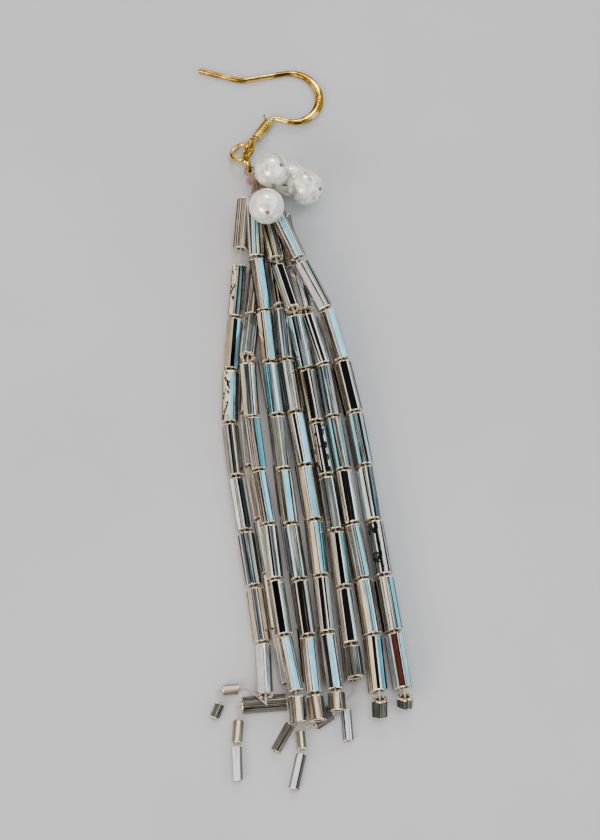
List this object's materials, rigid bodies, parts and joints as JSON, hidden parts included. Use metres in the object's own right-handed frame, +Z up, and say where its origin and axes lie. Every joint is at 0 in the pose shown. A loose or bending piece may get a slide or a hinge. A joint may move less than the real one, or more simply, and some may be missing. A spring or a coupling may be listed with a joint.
{
  "type": "beaded earring",
  "caption": "Long fringe drop earring laid flat: gold ear hook, pearls and strands of six-sided mirror bugle beads",
  "frame": {"origin": "on the surface it lies on, under the middle of its bounding box", "axes": "+Z up from the surface, +Y from the fringe's ends towards the ear hook, +X to the right"},
  "size_m": [0.0282, 0.0994, 0.0117],
  "materials": {
    "gold": "polished",
    "mirror_glass": "silver-lined glass",
    "pearl": "pearly",
    "thread": "waxed"
  },
  "bodies": {
    "root": {"back_strand_1": "mirror_glass", "back_strand_2": "mirror_glass", "back_strand_3": "mirror_glass", "back_strand_4": "mirror_glass", "back_strand_5": "mirror_glass", "back_strand_6": "mirror_glass", "back_thread_1": "thread", "back_thread_2": "thread", "back_thread_3": "thread", "back_thread_4": "thread", "back_thread_5": "thread", "back_thread_6": "thread", "ear_hook": "gold", "front_strand_1": "mirror_glass", "front_strand_2": "mirror_glass", "front_strand_3": "mirror_glass", "front_strand_4": "mirror_glass", "front_strand_5": "mirror_glass", "front_strand_6": "mirror_glass", "front_strand_7": "mirror_glass", "front_thread_1": "thread", "front_thread_2": "thread", "front_thread_3": "thread", "front_thread_4": "thread", "front_thread_5": "thread", "front_thread_6": "thread", "front_thread_7": "thread", "hook_coil": "gold", "jump_ring": "gold", "link_ring": "gold", "pearl_1": "pearl", "pearl_2": "pearl", "pearl_3": "pearl", "pearl_4": "pearl", "pearl_thread_1": "thread", "pearl_thread_2": "thread", "pearl_thread_3": "thread", "pearl_thread_4": "thread", "thread_gather": "thread", "thread_knot": "thread"}
  },
  "joints": []
}
